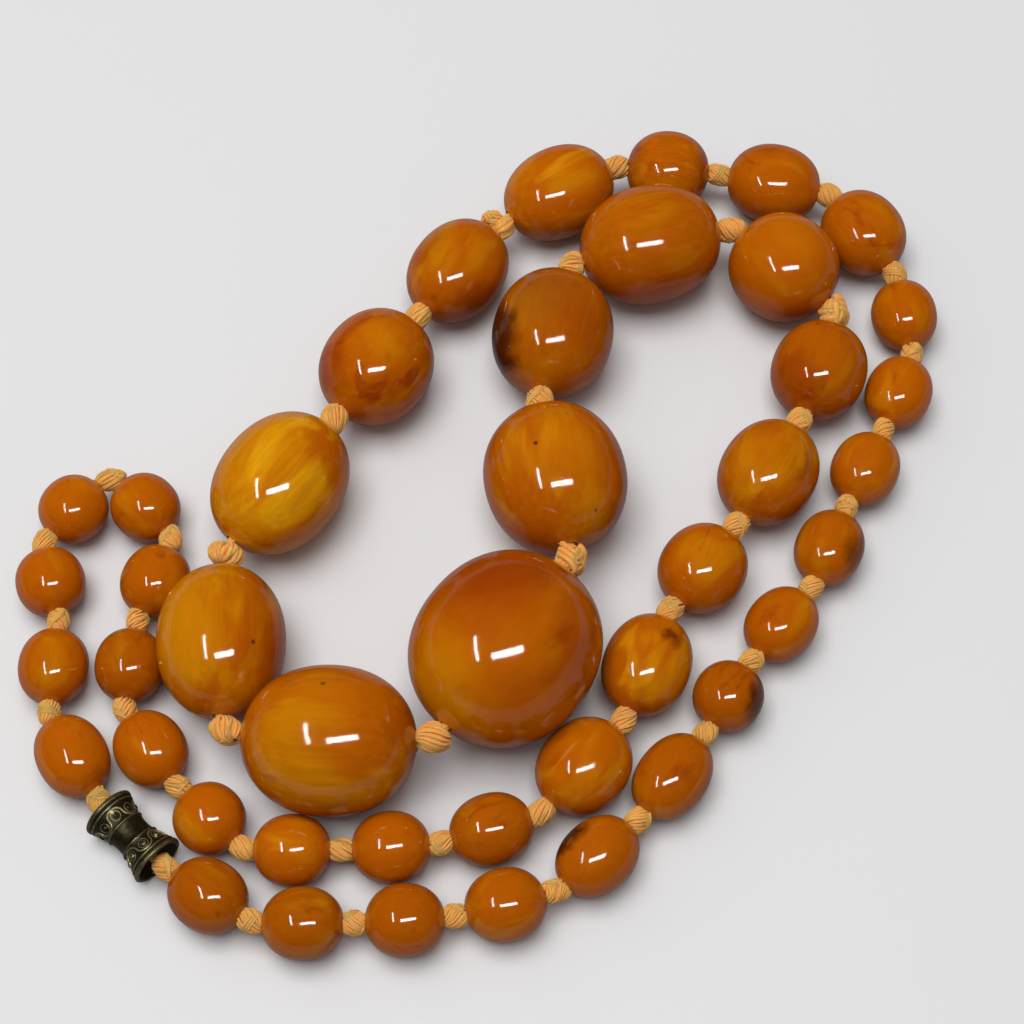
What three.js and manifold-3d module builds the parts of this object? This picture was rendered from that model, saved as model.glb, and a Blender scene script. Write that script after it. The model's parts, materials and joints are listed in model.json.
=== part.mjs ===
// A string of graduated resin prayer beads, knotted on one cord and closed at a bronze spool bead.
// It lies on a table as a crescent: the outer run of beads hugs the inner run.
// Millimetres. X to the right, Y away from the crescent's lower edge, Z up from the table.

import * as THREE from 'three';
import { mergeVertices } from 'three/addons/utils/BufferGeometryUtils.js';
import Module from 'manifold-3d';

const wasm = await Module();
wasm.setup();

// Beads. The largest is in the middle of the strand and the sizes fall away evenly to both sides.
const BEAD_COUNT = 43;
const MIDDLE_BEAD = 22;
const GRADUATED_DIAMETERS = [30.5, 24.5, 21.5, 21.5, 19.5, 16.8, 16.8, 14.7, 14.7, 14.7];
const SMALL_BEAD_DIAMETER = 11.7;
const LARGE_BEAD_LIMIT = 16;
const BORE_RADIUS = 1.1;
const OVAL_POWER = 2.12;
const LARGE_BEAD_MESH = { steps: 8, segments: 16 };
const SMALL_BEAD_MESH = { steps: 6, segments: 12 };

// Cord and knots. Where the cord bends, the beads stand further off their knot.
const CLEARANCE = 0.25;
const CORD_RADIUS = 0.8;
const BEND_ROOM = 0.17;
const KNOT_LENGTH = 2.8;
const KNOT_LENGTH_GROWTH = 0.12;
const KNOT_RADIUS = 2.1;
const KNOT_RADIUS_GROWTH = 0.035;
const DOUBLE_KNOTS = [16, 19, 22, 26];
const DOUBLE_KNOT_SCALE = 1.25;
const CORD_TILT_SHARE = 0.5;
const CORD_SEGMENTS = 8;
// Two thick wraps side by side, as shares of a knot's length and radius.
const KNOT_PROFILE = [[-0.5, 0], [-0.4, 0.72], [-0.2, 1], [0, 0.88], [0.2, 1], [0.4, 0.72], [0.5, 0]];

// Spool bead: half of its profile as [distance from the middle, radius], from the waist to the cup.
const SPOOL_LENGTH = 12.4;
const SPOOL_RADIUS = 4.6;
const SPOOL_SEGMENTS = 20;
const SPOOL_OUTER = [
  [0, 3.2], [1.4, 3.3], [2.5, 3.6], [2.7, 3.9], [3.0, 3.7], [4.5, 4.1], [4.8, 4.35],
  [5.1, 4.2], [5.5, 4.35], [5.7, SPOOL_RADIUS], [SPOOL_LENGTH / 2, SPOOL_RADIUS],
];
const SPOOL_CUP = [[SPOOL_LENGTH / 2, 3.7], [5.0, 2.9], [4.5, BORE_RADIUS]];

// The cord's route: the middle of each knot on the table, in order along the strand.
// Knot 0 is between the spool and bead 1, knot n follows bead n, and knot 43 meets the spool.
const ROUTE = [
  [-55.5, -66.5], [-41.5, -75.5], [-25, -75.5], [-9, -74.5], [7, -70.5], [20.5, -58.5],
  [32, -43.5], [40, -30.5], [51, -17.5], [58, -2], [65.5, 13], [72, 28.5],
  [70, 45], [59, 62], [38.5, 66.5], [19.5, 68], [-2.5, 55], [-17, 34.5],
  [-31, 13], [-49, -13], [-47.5, -46], [-12.3, -48.2], [10.5, -16], [4.5, 16],
  [10, 44.5], [40, 53], [59, 35.5], [50.5, 13.5], [38.5, -6.5], [26.5, -22],
  [18.5, -42], [5, -57.5], [-11.5, -62.5], [-27.5, -63.5], [-43.5, -63.5], [-54.5, -53],
  [-64.5, -39.5], [-63.5, -23.5], [-58, -8], [-70, 5], [-81, -8.5], [-76.5, -23.5],
  [-77, -40], [-67.5, -55],
];

// The beads held on the fixed run of cord. Each bead outside it is on its own link of cord.
const FIRST_MAIN_BEAD = 11;
const LAST_MAIN_BEAD = 39;

const COLOURS = { amber: 0xbc6410, cord: 0xe8a04c, bronze: 0x5c4a2a };
const MERGE_DISTANCE = 1e-4;
const UP = new THREE.Vector3(0, 0, 1);

const pieces = BEAD_COUNT + 1; // the spool comes last
const wrap = (index) => (index + pieces) % pieces;
const label = (index) => String(index).padStart(2, '0');

function beadDiameter(number) {
  const away = Math.abs(number - MIDDLE_BEAD);
  return GRADUATED_DIAMETERS[away] ?? SMALL_BEAD_DIAMETER;
}

// Piece 0 to 42 is bead 1 to 43, and piece 43 is the spool.
function pieceRadius(piece) {
  return wrap(piece) === BEAD_COUNT ? SPOOL_RADIUS : beadDiameter(wrap(piece) + 1) / 2;
}

// Knots grow with the beads beside them, and a few are tied twice.
function knotSize(knot) {
  const beside = pieceRadius(knot - 1) + pieceRadius(knot) - SMALL_BEAD_DIAMETER;
  const more = Math.max(0, beside);
  const scale = DOUBLE_KNOTS.includes(knot) ? DOUBLE_KNOT_SCALE : 1;
  return {
    length: (KNOT_LENGTH + KNOT_LENGTH_GROWTH * more) * scale,
    radius: (KNOT_RADIUS + KNOT_RADIUS_GROWTH * more) * scale,
  };
}

// The stretch of route that piece n sits on, from knot n to knot n + 1.
function stretch(piece) {
  const from = new THREE.Vector2(...ROUTE[piece]);
  const to = new THREE.Vector2(...ROUTE[wrap(piece + 1)]);
  return { from, along: to.sub(from) };
}

// How far a knot keeps the ends of its two pieces from the route's corner.
function standOff(knot) {
  const before = stretch(wrap(knot - 1)).along;
  const after = stretch(knot).along;
  const bend = before.angleTo(after);
  const { length, radius } = knotSize(knot);
  return length / 2 + CLEARANCE + BEND_ROOM * radius * bend ** 3;
}

// Where piece n lies, before it is lowered onto the table.
function pieceLine(piece) {
  const { from, along } = stretch(piece);
  const spool = piece === BEAD_COUNT;
  const rise = CORD_TILT_SHARE * (pieceRadius(piece + 1) - pieceRadius(piece - 1));
  const chord = along.length();
  const near = spool ? (chord - SPOOL_LENGTH) / 2 : standOff(piece);
  const far = spool ? near : standOff(wrap(piece + 1));
  const middle = from.addScaledVector(along, (near + chord - far) / 2 / chord);
  return {
    axis: new THREE.Vector3(along.x, along.y, spool ? 0 : rise).normalize(),
    length: chord - near - far,
    middle: new THREE.Vector3(middle.x, middle.y, pieceRadius(piece)),
  };
}

// A closed body turned about the Y axis, joined into shared points. Profile: [along, radius].
function turned(profile, segments) {
  const points = profile.map(([along, radius]) => new THREE.Vector2(radius, along));
  const geometry = new THREE.LatheGeometry(points, segments);
  return welded(geometry);
}

function welded(geometry) {
  geometry.deleteAttribute('normal');
  geometry.deleteAttribute('uv');
  return mergeVertices(geometry, MERGE_DISTANCE);
}

// Lays a body that was turned about Y along an axis, with one of its corners straight down.
function laid(geometry, axis, middle) {
  const side = new THREE.Vector3().crossVectors(axis, UP).normalize();
  const top = new THREE.Vector3().crossVectors(side, axis);
  const place = new THREE.Matrix4().makeBasis(side, axis, top).setPosition(middle);
  return geometry.applyMatrix4(place);
}

// How far a laid body has to rise to touch the table.
function heightToRest(geometry) {
  geometry.computeBoundingBox();
  return -geometry.boundingBox.min.z;
}

function ovalProfile(length, radius, steps) {
  const half = length / 2;
  const profile = [];
  const mouth = half * (1 - (BORE_RADIUS / radius) ** OVAL_POWER) ** (1 / OVAL_POWER);
  for (let step = 0; step <= steps; step += 1) {
    const along = -mouth * Math.cos((Math.PI * step) / steps);
    const round = (1 - Math.abs(along / half) ** OVAL_POWER) ** (1 / OVAL_POWER);
    profile.push([along, Math.max(BORE_RADIUS, radius * round)]);
  }
  profile.push([-mouth, BORE_RADIUS]);
  return profile;
}

function spoolProfile() {
  const half = [...SPOOL_OUTER, ...SPOOL_CUP];
  const mirrored = half.slice(1).reverse().map(([along, radius]) => [-along, radius]);
  const profile = [...mirrored, ...half];
  return [...profile, profile[0]];
}

function pieceGeometry(piece, line) {
  if (piece === BEAD_COUNT) {
    return laid(turned(spoolProfile(), SPOOL_SEGMENTS), line.axis, line.middle);
  }
  const radius = pieceRadius(piece);
  const { steps, segments } = 2 * radius > LARGE_BEAD_LIMIT ? LARGE_BEAD_MESH : SMALL_BEAD_MESH;
  return laid(turned(ovalProfile(line.length, radius, steps), segments), line.axis, line.middle);
}

function knotGeometry({ length, radius }, axis, middle) {
  const profile = KNOT_PROFILE.map(([along, round]) => [along * length, round * radius]);
  return laid(turned(profile, CORD_SEGMENTS), axis, middle);
}

function cordGeometry(from, to) {
  const axis = to.clone().sub(from);
  const half = axis.length() / 2;
  const middle = from.clone().add(to).multiplyScalar(0.5);
  const profile = [[-half, 0], [-half, CORD_RADIUS], [half, CORD_RADIUS], [half, 0]];
  return laid(turned(profile, CORD_SEGMENTS), axis.normalize(), middle);
}

function toManifold(geometry) {
  const mesh = new wasm.Mesh({
    numProp: 3,
    vertProperties: new Float32Array(geometry.attributes.position.array),
    triVerts: new Uint32Array(geometry.index.array),
  });
  return new wasm.Manifold(mesh);
}

function united(geometries) {
  const solid = geometries.map(toManifold).reduce((sum, next) => sum.add(next));
  const { vertProperties, triVerts } = solid.getMesh();
  const geometry = new THREE.BufferGeometry();
  geometry.setAttribute('position', new THREE.BufferAttribute(vertProperties, 3));
  geometry.setIndex(new THREE.BufferAttribute(triVerts, 1));
  return geometry;
}

const group = new THREE.Group();
group.name = 'prayer_beads';

function addNode(name, geometry, colour, metalness = 0) {
  const material = new THREE.MeshStandardMaterial({ color: colour, metalness });
  const mesh = new THREE.Mesh(geometry, material);
  mesh.name = name;
  group.add(mesh);
}

// Every piece, lying on the table, with the two ends of its bore.
const strand = Array.from({ length: pieces }, (_, piece) => {
  const { axis, length, middle } = pieceLine(piece);
  const geometry = pieceGeometry(piece, { axis, length, middle });
  const rise = heightToRest(geometry);
  geometry.translate(0, 0, rise);
  const resting = middle.clone().setZ(middle.z + rise);
  const at = (distance) => resting.clone().addScaledVector(axis, distance);
  return { geometry, axis, at, start: -length / 2, end: length / 2 };
});

// Knot n ties the cord between the end of piece n - 1 and the start of piece n.
function knotPlace(knot) {
  const before = strand[wrap(knot - 1)];
  const after = strand[knot];
  const room = standOff(knot);
  const middle = before.at(before.end + room).add(after.at(after.start - room));
  const axis = before.axis.clone().add(after.axis).normalize();
  return { axis, middle: middle.multiplyScalar(0.5) };
}

// One run of cord through the given pieces, with the knots that it carries.
function cordRun(runPieces, runKnots) {
  const reach = (knot) => (runKnots.includes(knot) ? standOff(knot) : -CLEARANCE);
  const lengths = runPieces.map((piece) => {
    const { at, start, end } = strand[piece];
    return cordGeometry(at(start - reach(piece)), at(end + reach(wrap(piece + 1))));
  });
  const ties = runKnots.map((knot) => {
    const { axis, middle } = knotPlace(knot);
    return knotGeometry(knotSize(knot), axis, middle);
  });
  return united([...lengths, ...ties]);
}

strand.forEach(({ geometry }, piece) => {
  if (piece === BEAD_COUNT) {
    addNode('spool_bead', geometry, COLOURS.bronze, 1);
  } else {
    addNode(`bead_${label(piece + 1)}`, geometry, COLOURS.amber);
  }
});

// The main run of cord, with every knot from one end of it to the other.
const mainPieces = [];
for (let bead = FIRST_MAIN_BEAD; bead <= LAST_MAIN_BEAD; bead += 1) {
  mainPieces.push(bead - 1);
}
addNode('cord_main', cordRun(mainPieces, [...mainPieces, LAST_MAIN_BEAD]), COLOURS.cord);

// Each link carries the knot at its far end. The strand is left open between bead 43 and the spool.
for (let bead = FIRST_MAIN_BEAD - 1; bead >= 1; bead -= 1) {
  addNode(`cord_link_${label(bead)}`, cordRun([bead - 1], [bead - 1]), COLOURS.cord);
}
addNode('cord_link_spool', cordRun([BEAD_COUNT], [BEAD_COUNT]), COLOURS.cord);
for (let bead = LAST_MAIN_BEAD + 1; bead <= BEAD_COUNT; bead += 1) {
  addNode(`cord_link_${label(bead)}`, cordRun([bead - 1], bead < BEAD_COUNT ? [bead] : []), COLOURS.cord);
}

// The origin is under the middle of the whole strand.
const box = new THREE.Box3().setFromObject(group);
const centre = box.getCenter(new THREE.Vector3());
group.children.forEach((mesh) => mesh.geometry.translate(-centre.x, -centre.y, 0));

export default group;
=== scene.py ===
"""Knotted strand of graduated amber-coloured resin beads with one bronze spool, on a pale studio floor.

Pieces: 43 beads and the spool, each turning on the cord; the plied cord through each of them; and the
knot between each pair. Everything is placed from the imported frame's joints and CAD nodes.
"""

import json
import math

import bpy
import numpy as np
from mathutils import Matrix, Vector

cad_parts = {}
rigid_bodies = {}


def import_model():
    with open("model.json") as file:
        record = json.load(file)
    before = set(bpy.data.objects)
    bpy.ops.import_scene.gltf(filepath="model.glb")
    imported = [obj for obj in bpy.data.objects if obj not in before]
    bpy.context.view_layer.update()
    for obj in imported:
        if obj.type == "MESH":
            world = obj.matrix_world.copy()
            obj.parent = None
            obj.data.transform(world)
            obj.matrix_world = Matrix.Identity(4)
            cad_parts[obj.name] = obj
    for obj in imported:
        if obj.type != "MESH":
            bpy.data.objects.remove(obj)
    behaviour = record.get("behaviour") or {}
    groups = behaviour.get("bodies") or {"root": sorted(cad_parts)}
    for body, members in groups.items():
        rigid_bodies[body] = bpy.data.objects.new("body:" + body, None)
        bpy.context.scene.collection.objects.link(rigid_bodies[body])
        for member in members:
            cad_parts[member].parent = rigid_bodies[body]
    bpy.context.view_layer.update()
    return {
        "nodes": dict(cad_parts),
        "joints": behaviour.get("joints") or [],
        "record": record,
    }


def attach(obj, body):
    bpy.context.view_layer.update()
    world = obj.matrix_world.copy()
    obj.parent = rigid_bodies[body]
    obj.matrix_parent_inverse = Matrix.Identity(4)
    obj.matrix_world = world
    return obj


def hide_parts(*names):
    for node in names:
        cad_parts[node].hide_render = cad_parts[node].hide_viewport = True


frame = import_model()

MM = 0.001
UP = Vector((0, 0, 1))
BEADS = 43
SPOOL = 44
BORE = 1.1 * MM
OVAL_POWER = 2.12
SMALL_BEAD = 11.7 * MM
LARGE_RADIUS = 8 * MM  # beads above this get a finer mesh


# ---------------------------------------------------------------- camera

VIEW_ELEVATION = math.radians(64)
VIEW_DISTANCE = 0.38759
LENS = 77.34
SENSOR = 36
TARGET = Vector((0.00387, 0.00339, 0))

TO_CAMERA = Vector((0, -math.cos(VIEW_ELEVATION), math.sin(VIEW_ELEVATION)))
VIEW_UP = Vector((0, math.sin(VIEW_ELEVATION), math.cos(VIEW_ELEVATION)))
VIEW_RIGHT = Vector((1, 0, 0))


camera_data = bpy.data.cameras.new("camera")
camera_data.sensor_width = SENSOR
camera_data.lens = LENS
camera_data.clip_start = 0.01
camera_data.clip_end = 20
camera = bpy.data.objects.new("camera", camera_data)
camera.location = TARGET + TO_CAMERA * VIEW_DISTANCE
camera.rotation_euler = (TARGET - camera.location).to_track_quat("-Z", "Y").to_euler()
bpy.context.scene.collection.objects.link(camera)
bpy.context.scene.camera = camera


# ---------------------------------------------------------------- small helpers

def srgb(r, g, b):
    """A colour given as 0 to 255 display values, as linear RGBA."""
    channels = [c / 255 for c in (r, g, b)]
    return tuple(c / 12.92 if c <= 0.04045 else ((c + 0.055) / 1.055) ** 2.4 for c in channels) + (1,)


def from_front(right, up):
    """A unit direction on a bead, as it shows from the front at the viewing elevation."""
    towards = math.sqrt(max(0, 1 - right * right - up * up))
    return VIEW_RIGHT * right + VIEW_UP * up + TO_CAMERA * towards


def placed(centre, axis):
    """A frame at centre with local X along axis and local Z as near upright as it can be."""
    x = Vector(axis).normalized()
    y = UP.cross(x).normalized()
    z = x.cross(y)
    rotation = Matrix((x, y, z)).transposed().to_4x4()
    return Matrix.Translation(centre) @ rotation


TIP_LENGTH = 0.3  # of the tube's radius
TIP_SIZE = 0.02


class Builder:
    """Collects vertices, quads and UVs for one mesh, in local coordinates."""

    def __init__(self):
        self.points, self.faces, self.uvs, self.count = [], [], [], 0

    def grid(self, points, closed_rows=True, closed_columns=False, uv_scale=(1, 1)):
        """Adds rows x columns points as quads; each row is a ring."""
        rows, columns = points.shape[:2]
        base = self.count
        self.points.append(points.reshape(-1, 3))
        self.count += rows * columns
        row_steps = rows if closed_columns else rows - 1
        column_steps = columns if closed_rows else columns - 1
        i, j = np.meshgrid(np.arange(row_steps), np.arange(column_steps), indexing="ij")
        i2, j2 = (i + 1) % rows, (j + 1) % columns
        corners = [i * columns + j, i * columns + j2, i2 * columns + j2, i2 * columns + j]
        quads = np.stack(corners, -1)
        self.faces.append(base + quads.reshape(-1, 4))
        u = np.stack([i, i, i + 1, i + 1], -1).reshape(-1, 4) / max(rows - 1, 1) * uv_scale[0]
        v = np.stack([j, j + 1, j + 1, j], -1).reshape(-1, 4) / columns * uv_scale[1]
        self.uvs.append(np.stack([u, v], -1))

    def tube(self, path, radius, sides=7):
        """A round tube along path, with a small blunt tip at each end."""
        path = np.asarray(path, float)
        radius = np.broadcast_to(np.asarray(radius, float), (len(path),)).copy()
        tangents = np.gradient(path, axis=0)
        tangents /= np.linalg.norm(tangents, axis=1)[:, None] + 1e-12
        normal = np.cross(tangents[0], (0.31, 0.57, 0.76))
        normals = []
        for t in tangents:
            normal = normal - t * (normal @ t)
            normal /= np.linalg.norm(normal) + 1e-12
            normals.append(normal)
        normals = np.array(normals)
        binormals = np.cross(tangents, normals)
        turn = np.arange(sides)[None, :, None] / sides * 2 * math.pi
        out = normals[:, None] * np.cos(turn) + binormals[:, None] * np.sin(turn)
        rings = path[:, None] + radius[:, None, None] * out
        start = path[0] - tangents[0] * radius[0] * TIP_LENGTH
        end = path[-1] + tangents[-1] * radius[-1] * TIP_LENGTH
        first = start * (1 - TIP_SIZE) + rings[:1] * TIP_SIZE
        last = end * (1 - TIP_SIZE) + rings[-1:] * TIP_SIZE
        length = np.linalg.norm(np.diff(path, axis=0), axis=1).sum() / MM
        self.grid(np.concatenate([first, rings, last]), uv_scale=(length, 1))

    def finish(self, name, place, material):
        mesh = bpy.data.meshes.new(name)
        points = np.concatenate(self.points)
        faces = np.concatenate(self.faces)
        mesh.vertices.add(len(points))
        mesh.vertices.foreach_set("co", points.astype(np.float32).ravel())
        mesh.loops.add(faces.size)
        mesh.loops.foreach_set("vertex_index", faces.astype(np.int32).ravel())
        mesh.polygons.add(len(faces))
        mesh.polygons.foreach_set("loop_start", np.arange(0, faces.size, 4, dtype=np.int32))
        mesh.polygons.foreach_set("use_smooth", np.ones(len(faces), bool))
        layer = mesh.uv_layers.new(name="along")
        layer.data.foreach_set("uv", np.concatenate(self.uvs).astype(np.float32).ravel())
        mesh.update(calc_edges=True)
        mesh.validate()
        mesh.materials.append(material)
        obj = bpy.data.objects.new(name, mesh)
        obj.matrix_world = place
        bpy.context.scene.collection.objects.link(obj)
        return obj


def lathe(builder, profile, segments, wobble=None):
    """Turns (along, radius) pairs round local X."""
    profile = np.asarray(profile, float)
    turn = np.arange(segments) / segments * 2 * math.pi
    x = np.repeat(profile[:, :1], segments, 1)
    radius = np.repeat(profile[:, 1:], segments, 1)
    if wobble is not None:
        radius = radius * wobble(x, turn[None])
    points = np.stack([x, radius * np.cos(turn), radius * np.sin(turn)], -1)
    builder.grid(points, closed_columns=True)


# ---------------------------------------------------------------- places, from the frame

class Place:
    """Where one bead, spool or knot is, as plain attributes."""


def measured(number):
    """Where a bead or the spool is: centre, axis, largest radius and half its length."""
    p = Place()
    p.number = number
    p.body = "spool" if number == SPOOL else f"bead_{number:02d}"
    p.node = "spool_bead" if number == SPOOL else p.body
    joint = next(j for j in frame["joints"] if j["child"] == p.body)
    p.carrier = joint["parent"]
    p.centre = Vector(joint["pos_m"])
    p.axis = Vector(joint["axis"]).normalized()
    rel = np.array([v.co for v in frame["nodes"][p.node].data.vertices]) - np.array(p.centre)
    along = rel @ np.array(p.axis)
    across = np.linalg.norm(rel - along[:, None] * np.array(p.axis), axis=1)
    p.radius = float(across.max())
    p.mouth = float(np.abs(along).max())
    return p


STRAND = [measured(SPOOL)] + [measured(n) for n in range(1, BEADS + 1)]


def knot_owner(number):
    """The body that carries knot number: knot n follows bead n, and knots 0 and 43 meet the spool."""
    if number == BEADS:
        return "link_spool"
    if number >= 40:
        return f"link_{number:02d}"
    if number <= 9:
        return f"link_{number + 1:02d}"
    return "strand"


CORNER_TURN = 0.25  # sine of the angle above which a knot counts as bent
CORNER_PULL = 0.35  # how far a bent knot moves towards the corner


def knot_place(number):
    """Where a knot is: midway between its neighbours, or nearer their axes' crossing at a bend."""
    k = Place()
    before, after = STRAND[number], STRAND[(number + 1) % (BEADS + 1)]
    k.start = before.centre + before.axis * before.mouth
    k.end = after.centre - after.axis * after.mouth
    k.centre = (k.start + k.end) / 2
    k.axis = (before.axis + after.axis).normalized()
    turn = before.axis.x * after.axis.y - before.axis.y * after.axis.x
    if abs(turn) > CORNER_TURN:
        gap = k.end - k.start
        ahead = (gap.x * after.axis.y - gap.y * after.axis.x) / turn
        corner = k.start + before.axis * ahead
        corner.z = k.centre.z
        k.centre = k.centre.lerp(corner, CORNER_PULL)
    k.gap = (k.end - k.start).length
    k.larger = max(0, before.radius + after.radius - SMALL_BEAD)
    k.body = knot_owner(number)
    return k


KNOTS = [knot_place(n) for n in range(BEADS + 1)]


# ---------------------------------------------------------------- node helpers

class Nodes:
    """A thin wrapper that makes shader nodes with values and links in one call."""

    def __init__(self, tree):
        self.tree = tree

    def add(self, kind, settings=None, **inputs):
        node = self.tree.nodes.new(kind)
        for key, value in (settings or {}).items():
            setattr(node, key, value)
        for key, value in inputs.items():
            by_index = key[0] == "i" and key[1:].isdigit()
            socket = node.inputs[int(key[1:]) if by_index else key.replace("_", " ")]
            if isinstance(value, bpy.types.NodeSocket):
                self.tree.links.new(value, socket)
            else:
                socket.default_value = value
        return node

    def math(self, operation, a, b=0.0, clamp=False):
        settings = {"operation": operation, "use_clamp": clamp}
        return self.add("ShaderNodeMath", settings, i0=a, i1=b).outputs[0]

    def vector(self, operation, a, b=(0, 0, 0)):
        node = self.add("ShaderNodeVectorMath", {"operation": operation}, i0=a, i1=b)
        return node.outputs["Value" if operation in ("DOT_PRODUCT", "DISTANCE") else "Vector"]

    def mix(self, factor, a, b, blend="MIX"):
        settings = {"data_type": "RGBA", "blend_type": blend}
        return self.add("ShaderNodeMix", settings, i0=factor, i6=a, i7=b).outputs[2]

    def noise(self, vector, scale, detail=3.0, rough=0.5, distortion=0.0):
        return self.add("ShaderNodeTexNoise", None, Vector=vector, Scale=scale, Detail=detail,
                        Roughness=rough, Distortion=distortion).outputs[0]

    def span(self, value, low, high, to_low=0.0, to_high=1.0, smooth=True):
        settings = {"interpolation_type": "SMOOTHSTEP" if smooth else "LINEAR"}
        return self.add("ShaderNodeMapRange", settings,
                        i0=value, i1=low, i2=high, i3=to_low, i4=to_high).outputs[0]

    def turned(self, vector, rotation, scale=(1, 1, 1), location=(0, 0, 0)):
        return self.add("ShaderNodeMapping", None, Vector=vector, Location=location, Rotation=rotation,
                        Scale=scale).outputs[0]

    def bump(self, height, strength, distance):
        return self.add("ShaderNodeBump", None,
                        Height=height, Strength=strength, Distance=distance).outputs[0]


def new_material(name):
    """A new material, its nodes and its main shader."""
    material = bpy.data.materials.new(name)
    material.use_nodes = True
    nodes = Nodes(material.node_tree)
    return material, nodes, material.node_tree.nodes["Principled BSDF"]


# ---------------------------------------------------------------- resin

AMBER = srgb(189, 95, 1)
OCHRE = srgb(208, 132, 3)
YELLOW = srgb(228, 164, 14)
RED = srgb(142, 44, 2)
DARK = srgb(58, 14, 3)
BROWN = srgb(98, 28, 3)
OLIVE = srgb(140, 76, 16)

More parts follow.
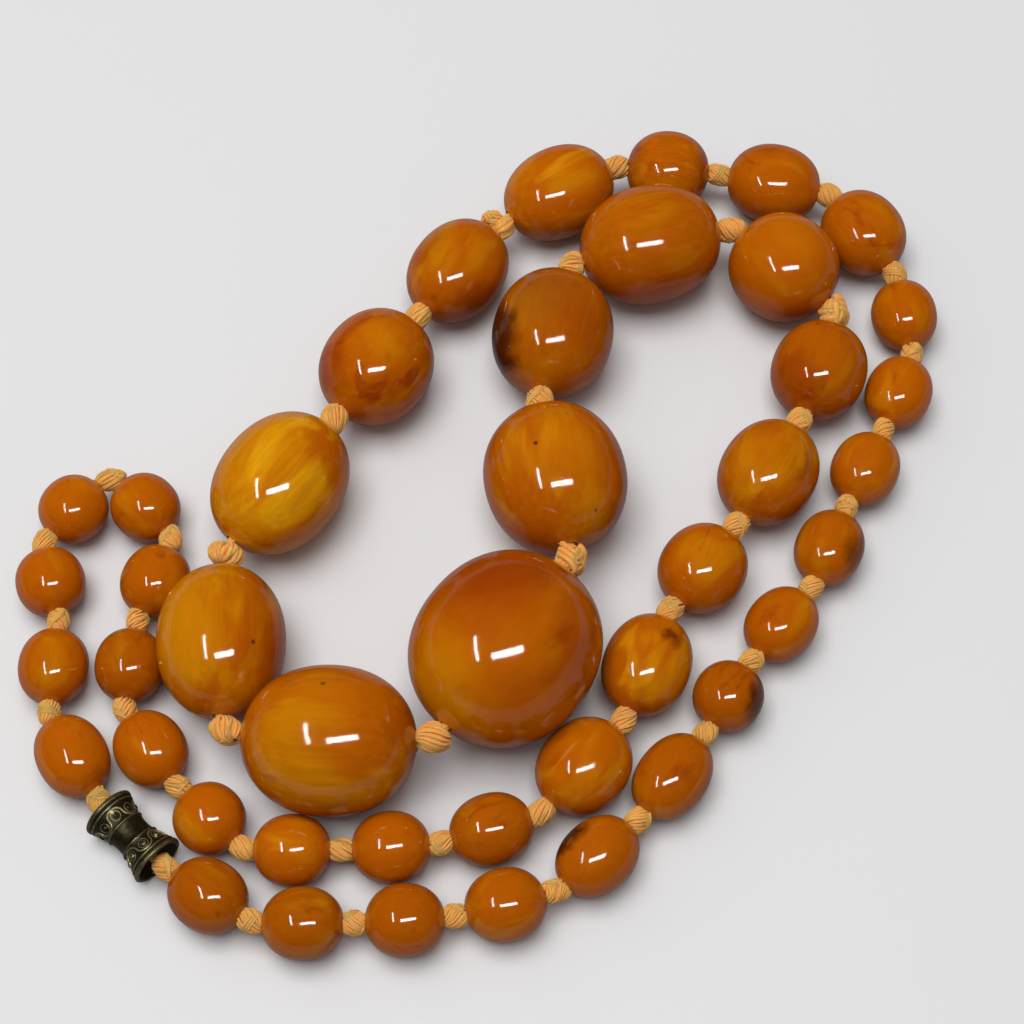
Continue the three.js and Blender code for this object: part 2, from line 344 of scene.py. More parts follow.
# What sets single beads apart. patch = share of ochre and yellow, swirl = share of red-brown, streak =
# strength of the fine lines, grain = turn of the lines in the picture in degrees, tint = brightness.
# The tints below one on beads 1 to 9 are painted shade.
# bands = coloured areas: right and up as seen from the front, reach, softness, strength, colour.
# Some are the resin's own marbling; the dark and brown ones on the outer edges and the red ones
# along the bottom and right are painted shade.
# spots = small dark pits: right and up, size, strength.
LOOKS = {
    # the low tints of beads 1 to 9 are painted shade
    1: dict(tint=0.80, swirl=0.5), 2: dict(tint=0.82, swirl=0.4),
    3: dict(tint=0.86, swirl=0.4), 4: dict(tint=0.92),
    5: dict(bands=[(-0.80, 0.58, 0.26, 0.22, 0.9, DARK)], tint=0.9),
    6: dict(swirl=0.5, grain=40, tint=0.9, bands=[(0.3, 0.2, 0.12, 0.2, 0.4, RED)]),
    7: dict(bands=[(0.93, -0.15, 0.40, 0.30, 0.85, DARK)], swirl=0.5, tint=0.84),
    9: dict(bands=[(0.85, -0.2, 0.35, 0.35, 0.6, DARK)], swirl=0.4, tint=0.9),
    14: dict(swirl=0.45, bands=[(-0.2, 0.9, 0.25, 0.3, 0.5, RED)]),
    15: dict(swirl=0.5, streak=0.8, grain=0,
             bands=[(0.95, 0.1, 0.28, 0.35, 0.5, BROWN), (-0.95, 0.1, 0.25, 0.35, 0.4, BROWN)]),
    16: dict(patch=0.6, streak=0.4, grain=20, swirl=0.15, tint=1.05,
             bands=[(0.2, -0.95, 0.3, 0.4, 0.5, RED)]),
    17: dict(swirl=0.5, patch=0.4,
             bands=[(0.35, -0.9, 0.45, 0.4, 0.7, RED), (-0.6, 0.5, 0.2, 0.3, 0.5, RED)]),
    18: dict(swirl=0.65, patch=0.4, grain=60, streak=0.5,
             bands=[(-0.75, -0.1, 0.2, 0.25, 0.7, RED), (0.3, -0.6, 0.15, 0.3, 0.5, RED),
                    (0.1, 0.5, 0.2, 0.3, 0.5, OCHRE)]),
    19: dict(patch=0.95, swirl=0.15, grain=55, streak=0.6, tint=1.06,
             bands=[(0.85, 0.5, 0.2, 0.3, 0.5, AMBER), (0.75, -0.6, 0.25, 0.4, 0.45, AMBER)]),
    20: dict(patch=0.6, swirl=0.2, streak=0.6, grain=90,
             bands=[(-0.55, 0.1, 0.45, 0.5, 0.6, OCHRE), (0.9, -0.3, 0.45, 0.5, 0.45, RED)],
             spots=[(0.58, 0.04, 0.05, 0.7)]),
    21: dict(patch=0.6, swirl=0.25, streak=0.6, grain=5,
             bands=[(-0.2, 0.6, 0.3, 0.5, 0.4, OCHRE), (0.1, -0.98, 0.30, 0.3, 0.6, RED),
                    (0.95, 0.1, 0.15, 0.2, 0.4, RED)],
             spots=[(-0.03, 0.80, 0.05, 0.6)]),
    22: dict(patch=0.35, swirl=0.5, streak=0.25, grain=40,
             bands=[(-0.72, -0.35, 0.34, 0.5, 0.8, OCHRE), (-0.1, 0.85, 0.42, 0.5, 0.75, RED),
                    (0.9, 0.1, 0.30, 0.4, 0.55, RED), (0.25, 0.25, 0.06, 0.12, 0.4, OCHRE),
                    (0.1, -0.35, 0.10, 0.2, 0.35, RED)]),
    23: dict(patch=0.5, swirl=0.25, streak=0.6, grain=90,
             bands=[(0.8, -0.6, 0.34, 0.35, 0.7, RED), (0.9, 0.3, 0.2, 0.3, 0.5, RED),
                    (0.1, 0.4, 0.25, 0.4, 0.4, OCHRE)],
             spots=[(-0.28, 0.46, 0.045, 0.8), (0.5, -0.42, 0.035, 0.6)]),
    24: dict(patch=0.4, swirl=0.35, streak=0.6, grain=80, tint=0.92,
             bands=[(-0.30, 0.70, 0.38, 0.5, 0.65, OLIVE), (0.55, 0.25, 0.25, 0.5, 0.5, RED),
                    (0.0, -0.75, 0.25, 0.5, 0.6, OCHRE), (-0.97, -0.12, 0.36, 0.25, 0.9, DARK)]),
    25: dict(patch=0.3, swirl=0.2, streak=0.6, grain=0, bands=[(0.1, -0.95, 0.35, 0.4, 0.5, RED)]),
    26: dict(patch=0.3, swirl=0.2,
             bands=[(0.1, -0.98, 0.35, 0.4, 0.5, RED), (0.0, 0.7, 0.3, 0.4, 0.3, OCHRE)]),
    27: dict(swirl=0.6, grain=50, tint=0.9, bands=[(-0.6, -0.2, 0.3, 0.3, 0.5, RED)]),
    28: dict(patch=0.5, swirl=0.4, grain=65, streak=0.6,
             bands=[(0.6, -0.8, 0.40, 0.4, 0.7, RED), (-0.5, 0.4, 0.3, 0.4, 0.5, OCHRE),
                    (0.7, 0.2, 0.08, 0.16, 0.5, BROWN)]),
    30: dict(patch=0.6, swirl=0.3,
             bands=[(0.5, 0.72, 0.08, 0.16, 0.9, BROWN), (0.0, -0.75, 0.12, 0.2, 0.6, RED)]),
    31: dict(patch=0.4, bands=[(0.1, -0.9, 0.3, 0.4, 0.4, RED)]),
    32: dict(tint=0.86, swirl=0.45),
    37: dict(tint=0.85, swirl=0.5),
    39: dict(bands=[(0.6, -0.6, 0.08, 0.18, 0.6, BROWN)]),
    43: dict(bands=[(0.6, -0.6, 0.08, 0.18, 0.6, BROWN)]),
}


PLAIN_LOOK = dict(patch=0.30, swirl=0.35, streak=0.3, grain=45, tint=1.0, bands=[], spots=[])
RESIN_SEED = 500
RESIN_IOR = 1.5
RESIN_GLOW = 0.35  # share of light that passes under the surface
RESIN_DEPTH = 3.5 * MM


def resin_material(piece):
    """Amber-coloured resin with clouds, swirls and fine lines, this bead's own marks and pits, and
    painted shade: darker bands on its outer edges and along its bottom and right, and a lower tint on
    beads 1 to 9.
    """
    look = PLAIN_LOOK | LOOKS.get(piece.number, {})
    patch, swirl, streak = look["patch"], look["swirl"], look["streak"]
    rng = np.random.default_rng(RESIN_SEED + piece.number)
    material, n, shader = new_material(f"resin_{piece.number:02d}")
    inverse = placed(Vector(), piece.axis).inverted()
    place = n.add("ShaderNodeTexCoord").outputs["Object"]
    unit = n.vector("MULTIPLY", place, (1 / piece.radius,) * 3)
    shifted = n.vector("ADD", unit, tuple(rng.uniform(-20, 20, 3)))

    # the grain runs along one direction that lies in the plane facing the front
    turn = math.radians(look["grain"])
    grain = inverse.to_3x3() @ (VIEW_RIGHT * math.cos(turn) + VIEW_UP * math.sin(turn))
    to_grain = Vector((1, 0, 0)).rotation_difference(grain).inverted().to_euler()
    grained = n.turned(shifted, tuple(to_grain), (0.35, 1, 1))

    clouds = n.noise(grained, 0.95, 2.5, 0.5, 0.6)
    patches = n.span(clouds, 0.62 - 0.3 * patch, 0.80 - 0.28 * patch)
    colour = n.mix(n.math("MULTIPLY", patches, 0.35 + 0.6 * patch), AMBER, OCHRE)
    glints = n.noise(grained, 1.5, 2.0, 0.5, 0.9)
    bright = n.span(glints, 0.60 - 0.16 * patch, 0.85 - 0.16 * patch)
    colour = n.mix(n.math("MULTIPLY", bright, 0.75 * patch), colour, YELLOW)

    drawn_out = n.turned(shifted, tuple(to_grain), (0.45, 1.2, 1.2), (7, 3, 5))
    swirled = n.noise(drawn_out, 1.25, 3.0, 0.55, 1.6)
    swirls = n.span(swirled, 0.66 - 0.18 * swirl, 0.86 - 0.2 * swirl)
    colour = n.mix(n.math("MULTIPLY", swirls, 0.3 + 0.65 * swirl), colour, RED)

    fine = n.noise(n.turned(shifted, tuple(to_grain), (0.5, 9, 9)), 1.6, 3.0, 0.6, 0.15)
    lines = n.span(fine, 0.3, 0.75, 1 - 0.26 * streak, 1 + 0.14 * streak, False)
    # painted shade: a tint below one on beads 1 to 9 darkens the whole bead where the light falls off
    tint = look["tint"] * rng.uniform(0.97, 1.03)
    shade = n.math("MULTIPLY", lines, tint)
    shades = n.add("ShaderNodeCombineXYZ", None, i0=shade, i1=shade, i2=shade).outputs[0]
    colour = n.mix(1.0, colour, shades, "MULTIPLY")

    # painted shade: the dark and brown bands on the outer edges and the red ones along the bottom and
    # right darken where shade falls; the other bands are marbling
    for right, up, reach, soft, strength, mark_and_shade_colour in look["bands"]:
        towards = inverse.to_3x3() @ from_front(right, up)
        facing = n.vector("DOT_PRODUCT", n.vector("NORMALIZE", unit), tuple(towards))
        uneven = n.math("SUBTRACT", n.noise(shifted, 1.7, 3.0), 0.5)
        ragged = n.math("ADD", facing, n.math("MULTIPLY", uneven, 0.5))
        low = 1 - reach
        mark_and_shade_mask = n.span(ragged, low, low + soft)
        colour = n.mix(n.math("MULTIPLY", mark_and_shade_mask, strength), colour, mark_and_shade_colour)
    for right, up, size, strength in look["spots"]:
        towards = inverse.to_3x3() @ from_front(right, up)
        off = n.vector("DISTANCE", n.vector("NORMALIZE", unit), tuple(towards))
        pit = n.span(off, size, size * 0.4)
        colour = n.mix(n.math("MULTIPLY", pit, strength), colour, DARK)

    n.tree.links.new(colour, shader.inputs["Base Color"])
    shader.inputs["Subsurface Weight"].default_value = RESIN_GLOW
    shader.inputs["Subsurface Radius"].default_value = (1.0, 0.25, 0.04)
    shader.inputs["Subsurface Scale"].default_value = RESIN_DEPTH
    shader.inputs["IOR"].default_value = RESIN_IOR
    wear = n.noise(shifted, 5.0, 4.0, 0.6)
    scratched = n.turned(shifted, (0.5, 0.9, turn), (2.5, 26, 26))
    nicks = n.span(n.noise(scratched, 1.6, 1.0), 0.73, 0.80)
    rough = n.math("ADD", n.span(wear, 0.3, 0.8, 0.06, 0.11), n.math("MULTIPLY", nicks, 0.25))
    n.tree.links.new(rough, shader.inputs["Roughness"])
    height = n.math("ADD", n.noise(shifted, 1.3, 1.0), n.math("MULTIPLY", fine, 0.004))
    n.tree.links.new(n.bump(height, 0.35, 0.25 * MM), shader.inputs["Normal"])
    return material


def oval_profile(half, radius):
    """From one mouth to the other over the outside, then back through the bore, as (along, radius)."""
    turns = np.linspace(0, math.pi, 61 if radius > LARGE_RADIUS else 41)
    outside = []
    for t in turns:
        x = -math.cos(t)
        r = (1 - abs(x) ** OVAL_POWER) ** (1 / OVAL_POWER)
        outside.append((x * half, r * radius))
    lip = 0.35 * MM
    kept = [(x, r) for x, r in outside if r > BORE + lip]
    edge = kept[-1][0]
    rounded = [(edge + lip * 0.55, BORE + lip * 0.62), (edge + lip * 0.72, BORE + lip * 0.28),
               (edge + lip * 0.5, BORE + lip * 0.05), (edge - lip * 0.4, BORE)]
    start = [(-x, r) for x, r in reversed(rounded)]
    bore = [(x, BORE) for x in np.linspace(edge - 2 * lip, -(edge - 2 * lip), 5)]
    return start + kept + rounded + bore


def build_bead(piece):
    """One drilled, slightly uneven oval."""
    rng = np.random.default_rng(piece.number)
    half = piece.mouth / (1 - (BORE / piece.radius) ** OVAL_POWER) ** (1 / OVAL_POWER)
    phases = rng.uniform(0, 2 * math.pi, 4)
    sizes = rng.uniform(0.001, 0.0045, 4)

    def wobble(x, turn):
        s = x / half
        fade = 1 - s ** 4
        return 1 + fade * (sizes[0] * np.cos(2 * turn + phases[0])
                           + sizes[1] * np.cos(turn + 2.2 * s + phases[1])
                           + 0.5 * sizes[2] * np.cos(3 * turn + phases[2] - 1.7 * s)
                           + sizes[3] * np.sin(2.5 * s + phases[3]))

    b = Builder()
    segments = 128 if piece.radius > LARGE_RADIUS else 80
    lathe(b, oval_profile(half, piece.radius), segments, wobble)
    obj = b.finish(f"bead_piece_{piece.number:02d}", placed(piece.centre, piece.axis),
                   resin_material(piece))
    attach(obj, piece.body)
    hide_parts(piece.node)


# ---------------------------------------------------------------- cord

def cord_material():
    """Soft twisted fibre. U runs along each ply in mm and V runs once round it."""
    material, n, shader = new_material("cord_silk")
    coords = n.add("ShaderNodeTexCoord")
    along = coords.outputs["UV"]
    place = n.vector("MULTIPLY", coords.outputs["Object"], (1000, 1000, 1000))
    split = n.add("ShaderNodeSeparateXYZ", None, i0=along)
    u, v = split.outputs[0], split.outputs[1]
    # fibres twist round each ply
    spiral = n.math("ADD", n.math("MULTIPLY", u, 0.22), v)
    strands = n.add("ShaderNodeCombineXYZ", None, i0=n.math("MULTIPLY", u, 0.5),
                    i1=n.math("MULTIPLY", spiral, 8.0), i2=n.noise(place, 0.4)).outputs[0]
    hair = n.noise(strands, 1.3, 3.0, 0.6)
    colour = n.mix(n.span(hair, 0.25, 0.75), srgb(236, 142, 52), srgb(255, 194, 104))
    wide = n.noise(place, 0.55, 2.0)
    colour = n.mix(n.span(wide, 0.35, 0.7, 0.0, 0.45), colour, srgb(250, 172, 80))
    n.tree.links.new(colour, shader.inputs["Base Color"])
    n.tree.links.new(n.span(hair, 0.2, 0.8, 0.62, 0.85), shader.inputs["Roughness"])
    shader.inputs["Subsurface Weight"].default_value = 0.7
    shader.inputs["Subsurface Radius"].default_value = (1.0, 0.5, 0.2)
    shader.inputs["Subsurface Scale"].default_value = 0.7 * MM
    shader.inputs["Sheen Weight"].default_value = 0.35
    shader.inputs["Sheen Roughness"].default_value = 0.5
    shader.inputs["Sheen Tint"].default_value = srgb(255, 214, 160)
    shader.inputs["IOR"].default_value = 1.45
    n.tree.links.new(n.bump(hair, 0.6, 0.08 * MM), shader.inputs["Normal"])
    return material


CORD = cord_material()
CORD_PLIES = 4
CORD_PLY = 0.42 * MM
CORD_LAY = 4.5 * MM  # length of one full twist


def cord_through(piece, before, after):
    """The plied cord from knot to knot through a bead or the spool, in that piece's own frame."""
    b = Builder()
    place = placed(piece.centre, piece.axis)
    inverse = place.inverted()
    start, end = inverse @ before.centre, inverse @ after.centre
    low, high = -piece.mouth, piece.mouth
    inner = np.linspace(low, high, max(8, int((high - low) / (0.7 * MM))))
    xs = np.concatenate([np.linspace(start.x, low, 5)[:-1], inner, np.linspace(high, end.x, 5)[1:]])
    across = np.zeros((len(xs), 2))
    for i, x in enumerate(xs):
        if x < low and abs(start.x - low) > 1e-6:
            across[i] = np.array((start.y, start.z)) * (x - low) / (start.x - low)
        elif x > high and abs(end.x - high) > 1e-6:
            across[i] = np.array((end.y, end.z)) * (x - high) / (end.x - high)
    for ply in range(CORD_PLIES):
        turn = ply / CORD_PLIES * 2 * math.pi + (xs - xs[0]) / CORD_LAY * 2 * math.pi
        ring = np.stack([np.cos(turn), np.sin(turn)], 1)
        path = np.column_stack([xs, across + CORD_PLY * ring])
        b.tube(path, CORD_PLY, 6)
    return b, place


CORE_SHARE = 0.80
GATHERED = 0.5 * MM  # radius that the plies gather to at a bead's mouth


def lump(b, rng, length, radius, plies, twist, offset=(0, 0, 0), flat=1.0, crossing=2):
    """One rounded knot of plies that leave the cord, wrap round it and gather again, along local X."""
    core = radius * CORE_SHARE
    pitch = math.atan(2 * math.pi * abs(twist) * core / length)
    thick = math.pi * core / plies * max(math.cos(pitch), 0.45) * 1.3
    offset = np.array(offset)
    t = np.linspace(0.02, 0.98, 25)
    along = -length / 2 * np.cos(math.pi * t)
    skew = rng.uniform(-0.3, 0.3)
    taper = rng.uniform(-0.35, 0.35)
    grip = rng.uniform(0.6, 0.85)
    for ply in range(plies):
        phase = (ply + rng.uniform(-0.2, 0.2)) / plies * 2 * math.pi
        reach = (radius - thick) * rng.uniform(0.93, 1.04)
        swell = np.sin(math.pi * t) ** grip * (1 + taper * (t - 0.5))
        rise = GATHERED + (reach - GATHERED) * swell
        turn = (phase + 2 * math.pi * twist * (t - 0.5) * rng.uniform(0.92, 1.08)
                + 0.1 * np.sin(2 * math.pi * t + rng.uniform(0, 2 * math.pi)))
        y, z = rise * np.cos(turn), rise * np.sin(turn) * flat
        x = along + skew * y + rng.uniform(-0.12, 0.12) * MM
        size = thick * (0.72 + 0.28 * np.sin(math.pi * t)) * rng.uniform(0.85, 1.12)
        b.tube(np.stack([x, y, z], 1) + offset, size, 6)
    t = np.linspace(0, 1, 21)
    for band in range(crossing):
        phase = rng.uniform(0, 2 * math.pi)
        lift = (radius - thick * 0.35) * (0.62 + 0.38 * np.sin(math.pi * t) ** 0.6)
        width = length * rng.uniform(0.25, 0.4)
        slope = -math.copysign(1, twist or 1)
        for k in range(3):
            turn = phase + slope * 2 * math.pi * 0.40 * (t - 0.5) + k * 0.08
            x = width * (2 * t - 1) + (k - 1) * thick * 1.75
            y, z = lift * np.cos(turn), lift * np.sin(turn) * flat
            b.tube(np.stack([x + skew * y, y, z], 1) + offset, thick * 0.85)
    # a solid inside, so that no gap shows between plies
    inside = []
    for s in np.linspace(-0.96, 0.96, 9):
        inside.append((s * length / 2, max(0.3 * MM, (core + thick * 0.25) * math.sqrt(1 - s * s))))
    turn = np.arange(12) / 12 * 2 * math.pi
    rings = [[(x + skew * r * math.cos(a), r * math.cos(a), r * math.sin(a) * flat) for a in turn]
             for x, r in inside]
    b.grid(np.array(rings) + offset)


def fuzz(b, rng, length, radius, count, reach=0.9, thick=0.022, offset=(0, 0, 0)):
    """Loose fibre ends standing out of a knot."""
    offset = np.array(offset)
    for _ in range(count):
        turn = rng.uniform(0, 2 * math.pi)
        s = rng.uniform(-0.85, 0.85)
        out = np.array([s * 0.9 + rng.normal(0, 0.35), math.cos(turn), math.sin(turn)])
        out /= np.linalg.norm(out)
        depth = radius * 0.85 * math.sqrt(1 - s * s * 0.8)
        root = np.array([s * length / 2, *(depth * out[1:])]) + offset
        side = np.cross(out, rng.normal(size=3))
        side /= np.linalg.norm(side)
        size = rng.uniform(0.35, 1.0) * reach * MM
        curl = rng.uniform(0.2, 1.1)
        t = np.linspace(0, 1, 5)[:, None]
        path = root + out * size * t + side * size * curl * t * t
        b.tube(path, np.linspace(1, 0.4, 5) * thick * MM, 3)


# Knots that stand out. lobes = length and radius in mm, plies, twist, offset in mm, flatness and
# crossing bands; fuzz = number of short loose fibres; tuft = number of long ones.
KNOT_SEED = 9000
KNOT_RADIUS = 2.0 * MM
KNOT_GROWTH = 0.045  # further radius beside larger beads
KNOT_LAP = 0.6 * MM
KNOT_SHORTEST, KNOT_LONGEST = 3.3 * MM, 4.8 * MM
KNOT_PLIES = 18
KNOT_FUZZ = 120
TUFT_REACH, TUFT_THICK = 2.2, 0.045
SPECIAL = {
    15: dict(fuzz=170),
    16: dict(lobes=[(3.3, 2.0, 11, 0.02, (0.0, 1.3, 0.3), 0.9, 0),
                    (3.0, 1.9, 10, 0.5, (0.4, -1.4, 0.1), 1.0, 1)], fuzz=100),
    17: dict(twist=0.1, plies=15, fuzz=160),
    19: dict(lobes=[(3.2, 3.3, 20, 0.03, (0, 0, 0), 0.7, 0)], fuzz=80),
    21: dict(fuzz=190, plies=16),
    22: dict(lobes=[(4.2, 2.6, 11, 0.32, (0, 0, 0), 1.0, 2)], fuzz=90, tuft=10),
    25: dict(fuzz=120, tuft=6),
    26: dict(lobes=[(4.2, 2.4, 9, 0.25, (0, 0, 0), 0.9, 4)], fuzz=90),
}


def build_knot(number, knot):
    """The knot after bead number, or before bead 1 for number 0."""
    rng = np.random.default_rng(KNOT_SEED + number)
    special = SPECIAL.get(number, {})
    b = Builder()
    length = min(max(knot.gap + KNOT_LAP, KNOT_SHORTEST), KNOT_LONGEST)
    radius = KNOT_RADIUS + KNOT_GROWTH * knot.larger
    twist = special.get("twist", rng.uniform(0.38, 0.52) * rng.choice([-1, 1], p=[0.3, 0.7]))
    lobes = special.get("lobes") or [(length / MM, radius / MM, special.get("plies", KNOT_PLIES),
                                      twist, (0, 0, 0), 1.0, int(rng.integers(1, 3)))]
    for l, r, plies, spin, offset, flat, crossing in lobes:
        shift = tuple(c * MM for c in offset)
        lump(b, rng, l * MM, r * MM, plies, spin, shift, flat * rng.uniform(0.94, 1.04), crossing)
        fibres = special.get("fuzz", KNOT_FUZZ) // len(lobes)
        fuzz(b, rng, l * MM, r * MM, fibres, offset=shift)
    if special.get("tuft"):
        fuzz(b, rng, length, radius, special["tuft"], TUFT_REACH, TUFT_THICK)
    obj = b.finish(f"knot_{number:02d}", placed(knot.centre, knot.axis), CORD)
    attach(obj, knot.body)


# ---------------------------------------------------------------- spool

def bronze_material():
    """Aged bronze: dark in the hollows, worn on the raised edges."""
    material, n, shader = new_material("aged_bronze")
    coords = n.add("ShaderNodeTexCoord")
    place = n.vector("MULTIPLY", coords.outputs["Object"], (1000, 1000, 1000))
    geometry = n.add("ShaderNodeNewGeometry")
    grime = n.noise(place, 0.9, 5.0, 0.65, 0.4)
    raised = n.span(geometry.outputs["Pointiness"], 0.51, 0.58)
    worn = n.math("MULTIPLY", n.math("ADD", raised, n.span(grime, 0.6, 0.85, 0.0, 0.2)), 1.0, True)
    colour = n.mix(worn, srgb(60, 54, 34), srgb(172, 162, 118))
    colour = n.mix(n.span(n.noise(place, 2.3, 3.0), 0.40, 0.7, 0.0, 0.6), colour, srgb(36, 33, 22))
    n.tree.links.new(colour, shader.inputs["Base Color"])
    shader.inputs["Metallic"].default_value = 0.85
    n.tree.links.new(n.span(grime, 0.3, 0.8, 0.32, 0.6), shader.inputs["Roughness"])
    n.tree.links.new(n.bump(n.noise(place, 4.0, 4.0, 0.6), 0.5, 0.06 * MM), shader.inputs["Normal"])
    return material


# (along, radius) in mm, from the waist to the rim and back into the cup.
SPOOL_HALF = [
    (0, 3.12), (0.7, 3.15), (1.3, 3.25), (1.62, 3.36), (1.70, 3.50), (1.80, 3.56),
    (1.90, 3.50), (1.98, 3.38), (2.2, 3.36), (3.0, 3.52), (3.8, 3.74), (4.5, 4.0),
    (4.66, 4.08), (4.74, 4.24), (4.86, 4.36), (4.98, 4.34), (5.06, 4.22), (5.12, 4.14),
    (5.24, 4.18), (5.34, 4.38), (5.46, 4.54), (5.66, 4.62), (5.88, 4.64), (6.06, 4.57),
    (6.17, 4.42), (6.2, 4.2), (6.12, 3.98), (5.9, 3.78), (5.6, 3.5), (5.2, 3.1),
    (4.9, 2.6), (4.75, 2.0), (4.6, 1.35), (4.5, 1.1),
]
SPOOL_SEGMENTS = 96
SPOOL_DOTS = 8
BAND_MIDDLE = 3.28  # mm from the waist
BAND_RADIUS = 3.6
BAND_FLARE = 0.26
DOT_RADIUS, DOT_HEIGHT, DOT_SUNK = 0.50, 0.34, 0.03
RING_RADIUS, RING_WIRE = 0.80, 0.07
SCROLL_SWAY, SCROLL_LIFT, SCROLL_WIRE = 1.16, 0.08, 0.17


def on_band(x, turn, lift, side):
    """Points on a spool band: x in mm from the band's middle, lifted by so many mm."""
    r = (BAND_RADIUS + BAND_FLARE * x + lift) * MM
    return np.stack([(BAND_MIDDLE + x) * side * MM, r * np.cos(turn), r * np.sin(turn)], -1)


def build_spool(piece):
    """The turned hourglass, with domes, rings and a running line on each band."""
    b = Builder()
    right = [(x * MM, r * MM) for x, r in SPOOL_HALF]
    left = [(-x, r) for x, r in reversed(right[1:])]
    lathe(b, left + right, SPOOL_SEGMENTS)
    round_dot = np.linspace(0, 2 * math.pi, 13)[:-1]
    step = 2 * math.pi / SPOOL_DOTS
    for side in (-1, 1):
        for k in range(SPOOL_DOTS):
            rings = []
            for h in np.linspace(math.pi / 2 - 0.05, 0, 5):
                x = DOT_RADIUS * math.cos(h) * np.cos(round_dot)
                swing = DOT_RADIUS * math.cos(h) * np.sin(round_dot) / BAND_RADIUS
                lift = DOT_HEIGHT * math.sin(h) - DOT_SUNK
                rings.append(on_band(x, k * step + swing, lift, side))
            b.grid(np.array(rings))
            # a fine ring round each dot
            t = np.linspace(0, 2 * math.pi, 25)
            swing = RING_RADIUS * np.sin(t) / BAND_RADIUS
            b.tube(on_band(RING_RADIUS * np.cos(t), k * step + swing, 0.0, side), RING_WIRE * MM, 5)
        # a raised line runs round the band, over one dot and under the next
        t = np.linspace(0, math.pi, 15)[:-1]
        spin = [k * step - np.cos(t) * step / 2 for k in range(SPOOL_DOTS)]
        spin = np.concatenate(spin + [[-step / 2 + 2 * math.pi]])
        sway = np.concatenate([(-1) ** k * np.sin(t) for k in range(SPOOL_DOTS)] + [[0]])
        b.tube(on_band(SCROLL_SWAY * sway, spin, SCROLL_LIFT, side), SCROLL_WIRE * MM, 6)
    obj = b.finish("spool_piece", placed(piece.centre, piece.axis), bronze_material())
    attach(obj, piece.body)
    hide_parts(piece.node)


# ---------------------------------------------------------------- assembly

def build_cords():
    """The plied cord, as one piece for each body that carries some of it."""
    nodes_of = frame["record"]["behaviour"]["bodies"]
    parts = {}
    for i, piece in enumerate(STRAND):
        b, place = cord_through(piece, KNOTS[(i - 1) % (BEADS + 1)], KNOTS[i])
        world = np.array(place)
        target = parts.setdefault(piece.carrier, Builder())
        for points, faces, uvs in zip(b.points, b.faces, b.uvs):
            moved = points @ world[:3, :3].T + world[:3, 3]
            target.points.append(moved)
            target.faces.append(faces + target.count)
            target.uvs.append(uvs)
        target.count += b.count
    for body, builder in parts.items():
        node = next(name for name in nodes_of[body] if name.startswith("cord_"))
        obj = builder.finish(node + "_piece", Matrix.Identity(4), CORD)
        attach(obj, body)
        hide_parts(node)


for piece in STRAND:
    if piece.number == SPOOL:
        build_spool(piece)
    else:
        build_bead(piece)
build_cords()
for number, knot in enumerate(KNOTS):
    build_knot(number, knot)


# ---------------------------------------------------------------- floor and light

FLOOR_HALF = 2.0


def floor_material():
    """Pale and plain; darker to the rays that carry reflections and bounced light."""
    material, n, shader = new_material("studio_floor")
    place = n.add("ShaderNodeTexCoord").outputs["Object"]
    tone = n.mix(n.noise(place, 3.0, 2.0), srgb(226, 226, 226), srgb(230, 229, 229))
    rays = n.add("ShaderNodeLightPath")
    dimmed = n.math("ADD", n.math("MULTIPLY", rays.outputs["Is Glossy Ray"], 0.70),
                    n.math("MULTIPLY", rays.outputs["Is Diffuse Ray"], 0.45), True)
    tone = n.mix(dimmed, tone, (0.04, 0.03, 0.03, 1))
    n.tree.links.new(tone, shader.inputs["Base Color"])
    shader.inputs["Roughness"].default_value = 0.7
    return material


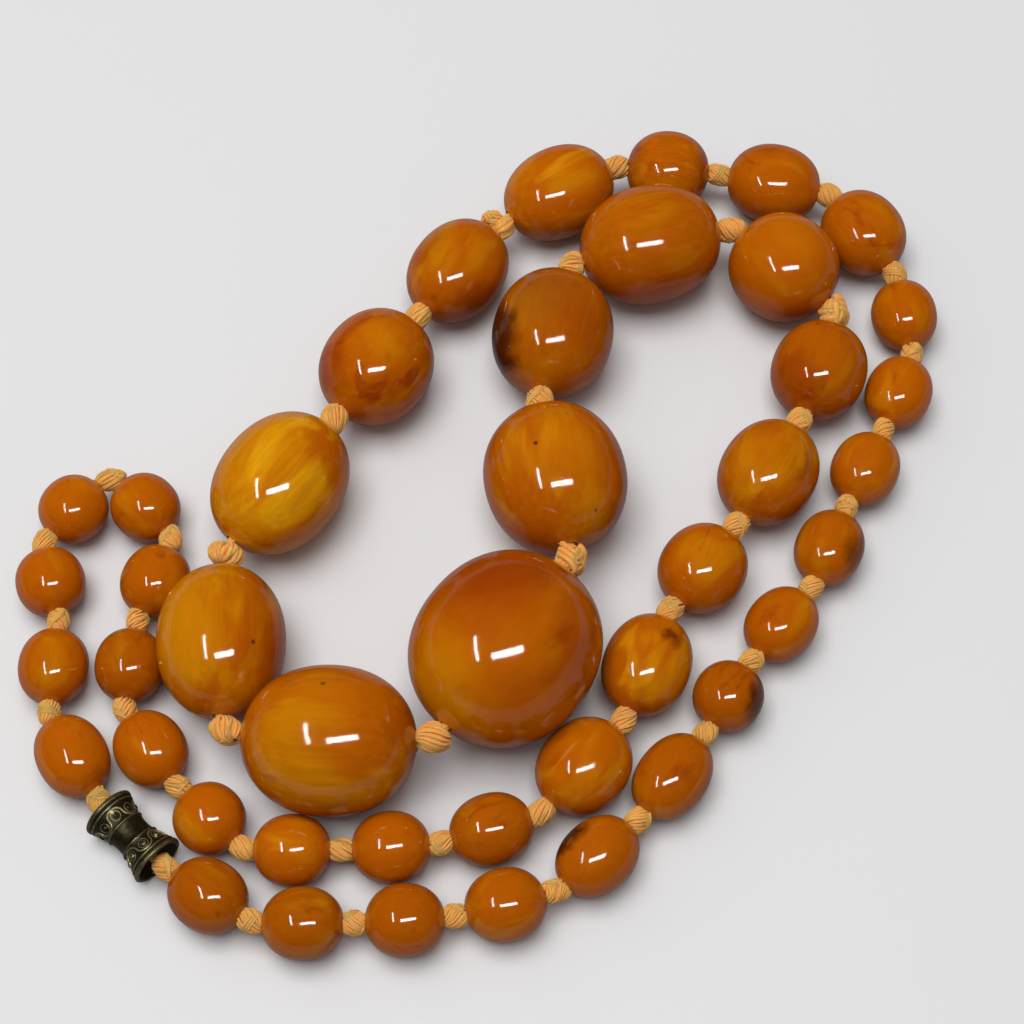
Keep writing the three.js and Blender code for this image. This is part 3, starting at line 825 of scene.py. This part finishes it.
floor = Builder()
floor.grid(np.array([[(x, y, 0) for x in (-FLOOR_HALF, FLOOR_HALF)]
                     for y in (-FLOOR_HALF, FLOOR_HALF)], float), closed_rows=False)
floor.finish("floor", Matrix.Translation((0, 0, -0.00002)), floor_material())


def in_view(right, up, towards):
    """A place given along the view's right, up and towards the camera, in metres from the target."""
    return TARGET + VIEW_RIGHT * right + VIEW_UP * up + TO_CAMERA * towards


def area_light(name, place, width, height, power, lean=0.0):
    """A rectangle facing the target, its width along the view's right, turned by lean degrees."""
    light = bpy.data.lights.new(name, "AREA")
    light.shape = "RECTANGLE"
    light.size, light.size_y = width, height
    light.energy = power
    out = (place - TARGET).normalized()
    across = VIEW_UP.cross(out).normalized()
    obj = bpy.data.objects.new(name, light)
    facing = Matrix((across, out.cross(across), out)).transposed().to_4x4()
    obj.matrix_world = Matrix.Translation(place) @ facing @ Matrix.Rotation(math.radians(lean), 4, "Z")
    bpy.context.scene.collection.objects.link(obj)
    return obj


# strip and softbox make the two bright bars in the gloss, and front and key light the strand
strip = area_light("strip", in_view(-0.158, 0.05, 0.31), 0.020, 0.17, 0.27, lean=14)
softbox = area_light("softbox", in_view(0.06, 0.02, 0.42), 0.26, 0.056, 1.2, lean=8)
for glint in (strip, softbox):
    glint.visible_diffuse = False
area_light("front", in_view(-0.15, 0.54, 1.1), 0.8, 0.8, 12.2).visible_glossy = False
area_light("key", in_view(-0.6, 0.9, 0.7), 1.3, 1.3, 2.7).visible_glossy = False

WORLD_LIGHT, WORLD_IN_GLOSS = 0.20, 0.02
world = bpy.data.worlds.new("studio")
world.use_nodes = True
sky = Nodes(world.node_tree)
# reflections see a darker room than the one that lights the strand
seen = sky.add("ShaderNodeLightPath").outputs["Is Glossy Ray"]
background = world.node_tree.nodes["Background"]
background.inputs["Color"].default_value = (0.93, 0.95, 1.0, 1)
world.node_tree.links.new(sky.span(seen, 0, 1, WORLD_LIGHT, WORLD_IN_GLOSS, False),
                     background.inputs["Strength"])
bpy.context.scene.world = world
bpy.context.scene.view_settings.view_transform = "Standard"
